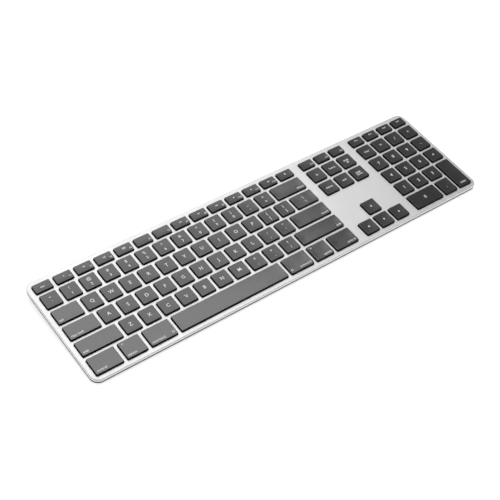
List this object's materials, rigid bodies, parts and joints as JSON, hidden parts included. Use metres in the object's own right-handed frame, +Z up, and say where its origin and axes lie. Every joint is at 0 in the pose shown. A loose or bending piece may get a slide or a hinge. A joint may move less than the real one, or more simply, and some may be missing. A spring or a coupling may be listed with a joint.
{
  "type": "wireless computer keyboard with numeric keypad",
  "caption": "Thin full-size wireless keyboard: aluminium deck with wells, low square-cornered keys on sprung slides, numeric keypad at the right, tapered cover with rear riser.",
  "frame": {"origin": "middle of the footprint, on the desk that the feet stand on", "axes": "+X along the keyboard's length towards the numeric keypad, +Y away from the user, +Z up"},
  "size_m": [0.4406, 0.118, 0.0131],
  "materials": {
    "deck_aluminium": "bead-blasted and clear anodised",
    "cover_plastic": "fine moulded grain",
    "riser_plastic": "fine moulded grain",
    "support_steel": "rolled and zinc plated",
    "membrane_film": "clear film",
    "dome_silicone": "milky silicone",
    "scissor_plastic": "moulded acetal",
    "wire_steel": "drawn wire",
    "board_laminate": "solder mask",
    "chip_plastic": "moulded epoxy",
    "tail_film": "polyimide film",
    "battery_foil": "foil pouch",
    "socket_steel": "plated shell",
    "slider_plastic": "fine moulded grain",
    "lens_plastic": "polished",
    "screw_steel": "black zinc",
    "foot_rubber": "matt",
    "key_plastic": "satin moulded",
    "legend_ink": "pad printed"
  },
  "bodies": {
    "case": {"deck_plate": "deck_aluminium", "bottom_cover": "cover_plastic", "rear_riser": "riser_plastic", "support_plate": "support_steel", "membrane": "membrane_film", "rubber_domes": "dome_silicone", "scissor_outer_frames": "scissor_plastic", "scissor_inner_frames": "scissor_plastic", "stabiliser_wires": "wire_steel", "circuit_board": "board_laminate", "board_parts": "chip_plastic", "membrane_tail": "tail_film", "battery_cell": "battery_foil", "charging_socket": "socket_steel", "status_lens": "lens_plastic", "cover_screws": "screw_steel", "rubber_feet": "foot_rubber"},
    "function_row_keys": {"function_row_keys": "key_plastic"},
    "number_row_keys": {"number_row_keys": "key_plastic"},
    "top_row_keys": {"top_row_keys": "key_plastic"},
    "home_row_keys": {"home_row_keys": "key_plastic"},
    "lower_row_keys": {"lower_row_keys": "key_plastic"},
    "modifier_keys": {"modifier_keys": "key_plastic"},
    "space_bar": {"space_bar": "key_plastic"},
    "key_f13": {"key_f13": "key_plastic"},
    "key_f14": {"key_f14": "key_plastic"},
    "key_f15": {"key_f15": "key_plastic"},
    "key_fn": {"key_fn": "key_plastic"},
    "key_home": {"key_home": "key_plastic"},
    "key_page_up": {"key_page_up": "key_plastic"},
    "key_forward_delete": {"key_forward_delete": "key_plastic"},
    "key_end": {"key_end": "key_plastic"},
    "key_page_down": {"key_page_down": "key_plastic"},
    "key_up": {"key_up": "key_plastic"},
    "key_left": {"key_left": "key_plastic"},
    "key_down": {"key_down": "key_plastic"},
    "key_right": {"key_right": "key_plastic"},
    "key_f16": {"key_f16": "key_plastic"},
    "key_f17": {"key_f17": "key_plastic"},
    "key_f18": {"key_f18": "key_plastic"},
    "key_f19": {"key_f19": "key_plastic"},
    "key_clear": {"key_clear": "key_plastic"},
    "key_equals": {"key_equals": "key_plastic"},
    "key_divide": {"key_divide": "key_plastic"},
    "key_multiply": {"key_multiply": "key_plastic"},
    "key_7": {"key_7": "key_plastic"},
    "key_8": {"key_8": "key_plastic"},
    "key_9": {"key_9": "key_plastic"},
    "key_minus": {"key_minus": "key_plastic"},
    "key_4": {"key_4": "key_plastic"},
    "key_5": {"key_5": "key_plastic"},
    "key_6": {"key_6": "key_plastic"},
    "key_plus": {"key_plus": "key_plastic"},
    "key_1": {"key_1": "key_plastic"},
    "key_2": {"key_2": "key_plastic"},
    "key_3": {"key_3": "key_plastic"},
    "key_0": {"key_0": "key_plastic"},
    "key_point": {"key_point": "key_plastic"},
    "key_enter": {"key_enter": "key_plastic"},
    "power_slider": {"power_slider": "slider_plastic"}
  },
  "joints": [
    {"name": "key_clear_press", "type": "slide", "parent": "case", "child": "key_clear", "axis": [0, 0.0523, -0.9986], "range_m": [0, 0.0018], "stiffness_N_per_m": 250, "springref_m": -0.0006, "deforming": ["rubber_domes", "scissor_outer_frames", "scissor_inner_frames", "stabiliser_wires"]},
    {"name": "key_equals_press", "type": "slide", "parent": "case", "child": "key_equals", "axis": [0, 0.0523, -0.9986], "range_m": [0, 0.0018], "stiffness_N_per_m": 250, "springref_m": -0.0006, "deforming": ["rubber_domes", "scissor_outer_frames", "scissor_inner_frames", "stabiliser_wires"]},
    {"name": "key_divide_press", "type": "slide", "parent": "case", "child": "key_divide", "axis": [0, 0.0523, -0.9986], "range_m": [0, 0.0018], "stiffness_N_per_m": 250, "springref_m": -0.0006, "deforming": ["rubber_domes", "scissor_outer_frames", "scissor_inner_frames", "stabiliser_wires"]},
    {"name": "key_multiply_press", "type": "slide", "parent": "case", "child": "key_multiply", "axis": [0, 0.0523, -0.9986], "range_m": [0, 0.0018], "stiffness_N_per_m": 250, "springref_m": -0.0006, "deforming": ["rubber_domes", "scissor_outer_frames", "scissor_inner_frames", "stabiliser_wires"]},
    {"name": "key_7_press", "type": "slide", "parent": "case", "child": "key_7", "axis": [0, 0.0523, -0.9986], "range_m": [0, 0.0018], "stiffness_N_per_m": 250, "springref_m": -0.0006, "deforming": ["rubber_domes", "scissor_outer_frames", "scissor_inner_frames", "stabiliser_wires"]},
    {"name": "key_8_press", "type": "slide", "parent": "case", "child": "key_8", "axis": [0, 0.0523, -0.9986], "range_m": [0, 0.0018], "stiffness_N_per_m": 250, "springref_m": -0.0006, "deforming": ["rubber_domes", "scissor_outer_frames", "scissor_inner_frames", "stabiliser_wires"]},
    {"name": "key_9_press", "type": "slide", "parent": "case", "child": "key_9", "axis": [0, 0.0523, -0.9986], "range_m": [0, 0.0018], "stiffness_N_per_m": 250, "springref_m": -0.0006, "deforming": ["rubber_domes", "scissor_outer_frames", "scissor_inner_frames", "stabiliser_wires"]},
    {"name": "key_minus_press", "type": "slide", "parent": "case", "child": "key_minus", "axis": [0, 0.0523, -0.9986], "range_m": [0, 0.0018], "stiffness_N_per_m": 250, "springref_m": -0.0006, "deforming": ["rubber_domes", "scissor_outer_frames", "scissor_inner_frames", "stabiliser_wires"]},
    {"name": "key_4_press", "type": "slide", "parent": "case", "child": "key_4", "axis": [0, 0.0523, -0.9986], "range_m": [0, 0.0018], "stiffness_N_per_m": 250, "springref_m": -0.0006, "deforming": ["rubber_domes", "scissor_outer_frames", "scissor_inner_frames", "stabiliser_wires"]},
    {"name": "key_5_press", "type": "slide", "parent": "case", "child": "key_5", "axis": [0, 0.0523, -0.9986], "range_m": [0, 0.0018], "stiffness_N_per_m": 250, "springref_m": -0.0006, "deforming": ["rubber_domes", "scissor_outer_frames", "scissor_inner_frames", "stabiliser_wires"]},
    {"name": "key_6_press", "type": "slide", "parent": "case", "child": "key_6", "axis": [0, 0.0523, -0.9986], "range_m": [0, 0.0018], "stiffness_N_per_m": 250, "springref_m": -0.0006, "deforming": ["rubber_domes", "scissor_outer_frames", "scissor_inner_frames", "stabiliser_wires"]},
    {"name": "key_plus_press", "type": "slide", "parent": "case", "child": "key_plus", "axis": [0, 0.0523, -0.9986], "range_m": [0, 0.0018], "stiffness_N_per_m": 250, "springref_m": -0.0006, "deforming": ["rubber_domes", "scissor_outer_frames", "scissor_inner_frames", "stabiliser_wires"]},
    {"name": "key_1_press", "type": "slide", "parent": "case", "child": "key_1", "axis": [0, 0.0523, -0.9986], "range_m": [0, 0.0018], "stiffness_N_per_m": 250, "springref_m": -0.0006, "deforming": ["rubber_domes", "scissor_outer_frames", "scissor_inner_frames", "stabiliser_wires"]},
    {"name": "key_2_press", "type": "slide", "parent": "case", "child": "key_2", "axis": [0, 0.0523, -0.9986], "range_m": [0, 0.0018], "stiffness_N_per_m": 250, "springref_m": -0.0006, "deforming": ["rubber_domes", "scissor_outer_frames", "scissor_inner_frames", "stabiliser_wires"]},
    {"name": "key_3_press", "type": "slide", "parent": "case", "child": "key_3", "axis": [0, 0.0523, -0.9986], "range_m": [0, 0.0018], "stiffness_N_per_m": 250, "springref_m": -0.0006, "deforming": ["rubber_domes", "scissor_outer_frames", "scissor_inner_frames", "stabiliser_wires"]},
    {"name": "key_0_press", "type": "slide", "parent": "case", "child": "key_0", "axis": [0, 0.0523, -0.9986], "range_m": [0, 0.0018], "stiffness_N_per_m": 250, "springref_m": -0.0006, "deforming": ["rubber_domes", "scissor_outer_frames", "scissor_inner_frames", "stabiliser_wires"]},
    {"name": "key_point_press", "type": "slide", "parent": "case", "child": "key_point", "axis": [0, 0.0523, -0.9986], "range_m": [0, 0.0018], "stiffness_N_per_m": 250, "springref_m": -0.0006, "deforming": ["rubber_domes", "scissor_outer_frames", "scissor_inner_frames", "stabiliser_wires"]},
    {"name": "key_enter_press", "type": "slide", "parent": "case", "child": "key_enter", "axis": [0, 0.0523, -0.9986], "range_m": [0, 0.0018], "stiffness_N_per_m": 250, "springref_m": -0.0006, "deforming": ["rubber_domes", "scissor_outer_frames", "scissor_inner_frames", "stabiliser_wires"]},
    {"name": "key_f16_press", "type": "slide", "parent": "case", "child": "key_f16", "axis": [0, 0.0523, -0.9986], "range_m": [0, 0.0018], "stiffness_N_per_m": 250, "springref_m": -0.0006, "deforming": ["rubber_domes", "scissor_outer_frames", "scissor_inner_frames", "stabiliser_wires"]},
    {"name": "key_f17_press", "type": "slide", "parent": "case", "child": "key_f17", "axis": [0, 0.0523, -0.9986], "range_m": [0, 0.0018], "stiffness_N_per_m": 250, "springref_m": -0.0006, "deforming": ["rubber_domes", "scissor_outer_frames", "scissor_inner_frames", "stabiliser_wires"]},
    {"name": "key_f18_press", "type": "slide", "parent": "case", "child": "key_f18", "axis": [0, 0.0523, -0.9986], "range_m": [0, 0.0018], "stiffness_N_per_m": 250, "springref_m": -0.0006, "deforming": ["rubber_domes", "scissor_outer_frames", "scissor_inner_frames", "stabiliser_wires"]},
    {"name": "key_f19_press", "type": "slide", "parent": "case", "child": "key_f19", "axis": [0, 0.0523, -0.9986], "range_m": [0, 0.0018], "stiffness_N_per_m": 250, "springref_m": -0.0006, "deforming": ["rubber_domes", "scissor_outer_frames", "scissor_inner_frames", "stabiliser_wires"]},
    {"name": "power_switch_slide", "type": "slide", "parent": "case", "child": "power_slider", "axis": [1, 0, 0], "range_m": [0, 0.003]},
    {"name": "space_bar_press", "type": "slide", "parent": "case", "child": "space_bar", "axis": [0, 0.0523, -0.9986], "range_m": [0, 0.0018], "stiffness_N_per_m": 250, "springref_m": -0.0006, "deforming": ["rubber_domes", "scissor_outer_frames", "scissor_inner_frames", "stabiliser_wires"]},
    {"name": "function_row_keys_press", "type": "slide", "parent": "case", "child": "function_row_keys", "axis": [0, 0.0523, -0.9986], "range_m": [0, 0.0018], "stiffness_N_per_m": 3500, "springref_m": -0.0006, "deforming": ["rubber_domes", "scissor_outer_frames", "scissor_inner_frames", "stabiliser_wires"]},
    {"name": "number_row_keys_press", "type": "slide", "parent": "case", "child": "number_row_keys", "axis": [0, 0.0523, -0.9986], "range_m": [0, 0.0018], "stiffness_N_per_m": 3500, "springref_m": -0.0006, "deforming": ["rubber_domes", "scissor_outer_frames", "scissor_inner_frames", "stabiliser_wires"]},
    {"name": "home_row_keys_press", "type": "slide", "parent": "case", "child": "home_row_keys", "axis": [0, 0.0523, -0.9986], "range_m": [0, 0.0018], "stiffness_N_per_m": 3250, "springref_m": -0.0006, "deforming": ["rubber_domes", "scissor_outer_frames", "scissor_inner_frames", "stabiliser_wires"]},
    {"name": "modifier_keys_press", "type": "slide", "parent": "case", "child": "modifier_keys", "axis": [0, 0.0523, -0.9986], "range_m": [0, 0.0018], "stiffness_N_per_m": 1500, "springref_m": -0.0006, "deforming": ["rubber_domes", "scissor_outer_frames", "scissor_inner_frames", "stabiliser_wires"]},
    {"name": "top_row_keys_press", "type": "slide", "parent": "case", "child": "top_row_keys", "axis": [0, 0.0523, -0.9986], "range_m": [0, 0.0018], "stiffness_N_per_m": 3500, "springref_m": -0.0006, "deforming": ["rubber_domes", "scissor_outer_frames", "scissor_inner_frames", "stabiliser_wires"]},
    {"name": "lower_row_keys_press", "type": "slide", "parent": "case", "child": "lower_row_keys", "axis": [0, 0.0523, -0.9986], "range_m": [0, 0.0018], "stiffness_N_per_m": 3000, "springref_m": -0.0006, "deforming": ["rubber_domes", "scissor_outer_frames", "scissor_inner_frames", "stabiliser_wires"]},
    {"name": "key_f13_press", "type": "slide", "parent": "case", "child": "key_f13", "axis": [0, 0.0523, -0.9986], "range_m": [0, 0.0018], "stiffness_N_per_m": 250, "springref_m": -0.0006, "deforming": ["rubber_domes", "scissor_outer_frames", "scissor_inner_frames", "stabiliser_wires"]},
    {"name": "key_f14_press", "type": "slide", "parent": "case", "child": "key_f14", "axis": [0, 0.0523, -0.9986], "range_m": [0, 0.0018], "stiffness_N_per_m": 250, "springref_m": -0.0006, "deforming": ["rubber_domes", "scissor_outer_frames", "scissor_inner_frames", "stabiliser_wires"]},
    {"name": "key_f15_press", "type": "slide", "parent": "case", "child": "key_f15", "axis": [0, 0.0523, -0.9986], "range_m": [0, 0.0018], "stiffness_N_per_m": 250, "springref_m": -0.0006, "deforming": ["rubber_domes", "scissor_outer_frames", "scissor_inner_frames", "stabiliser_wires"]},
    {"name": "key_fn_press", "type": "slide", "parent": "case", "child": "key_fn", "axis": [0, 0.0523, -0.9986], "range_m": [0, 0.0018], "stiffness_N_per_m": 250, "springref_m": -0.0006, "deforming": ["rubber_domes", "scissor_outer_frames", "scissor_inner_frames", "stabiliser_wires"]},
    {"name": "key_home_press", "type": "slide", "parent": "case", "child": "key_home", "axis": [0, 0.0523, -0.9986], "range_m": [0, 0.0018], "stiffness_N_per_m": 250, "springref_m": -0.0006, "deforming": ["rubber_domes", "scissor_outer_frames", "scissor_inner_frames", "stabiliser_wires"]},
    {"name": "key_page_up_press", "type": "slide", "parent": "case", "child": "key_page_up", "axis": [0, 0.0523, -0.9986], "range_m": [0, 0.0018], "stiffness_N_per_m": 250, "springref_m": -0.0006, "deforming": ["rubber_domes", "scissor_outer_frames", "scissor_inner_frames", "stabiliser_wires"]},
    {"name": "key_forward_delete_press", "type": "slide", "parent": "case", "child": "key_forward_delete", "axis": [0, 0.0523, -0.9986], "range_m": [0, 0.0018], "stiffness_N_per_m": 250, "springref_m": -0.0006, "deforming": ["rubber_domes", "scissor_outer_frames", "scissor_inner_frames", "stabiliser_wires"]},
    {"name": "key_end_press", "type": "slide", "parent": "case", "child": "key_end", "axis": [0, 0.0523, -0.9986], "range_m": [0, 0.0018], "stiffness_N_per_m": 250, "springref_m": -0.0006, "deforming": ["rubber_domes", "scissor_outer_frames", "scissor_inner_frames", "stabiliser_wires"]},
    {"name": "key_page_down_press", "type": "slide", "parent": "case", "child": "key_page_down", "axis": [0, 0.0523, -0.9986], "range_m": [0, 0.0018], "stiffness_N_per_m": 250, "springref_m": -0.0006, "deforming": ["rubber_domes", "scissor_outer_frames", "scissor_inner_frames", "stabiliser_wires"]},
    {"name": "key_up_press", "type": "slide", "parent": "case", "child": "key_up", "axis": [0, 0.0523, -0.9986], "range_m": [0, 0.0018], "stiffness_N_per_m": 250, "springref_m": -0.0006, "deforming": ["rubber_domes", "scissor_outer_frames", "scissor_inner_frames", "stabiliser_wires"]},
    {"name": "key_left_press", "type": "slide", "parent": "case", "child": "key_left", "axis": [0, 0.0523, -0.9986], "range_m": [0, 0.0018], "stiffness_N_per_m": 250, "springref_m": -0.0006, "deforming": ["rubber_domes", "scissor_outer_frames", "scissor_inner_frames", "stabiliser_wires"]},
    {"name": "key_down_press", "type": "slide", "parent": "case", "child": "key_down", "axis": [0, 0.0523, -0.9986], "range_m": [0, 0.0018], "stiffness_N_per_m": 250, "springref_m": -0.0006, "deforming": ["rubber_domes", "scissor_outer_frames", "scissor_inner_frames", "stabiliser_wires"]},
    {"name": "key_right_press", "type": "slide", "parent": "case", "child": "key_right", "axis": [0, 0.0523, -0.9986], "range_m": [0, 0.0018], "stiffness_N_per_m": 250, "springref_m": -0.0006, "deforming": ["rubber_domes", "scissor_outer_frames", "scissor_inner_frames", "stabiliser_wires"]}
  ]
}
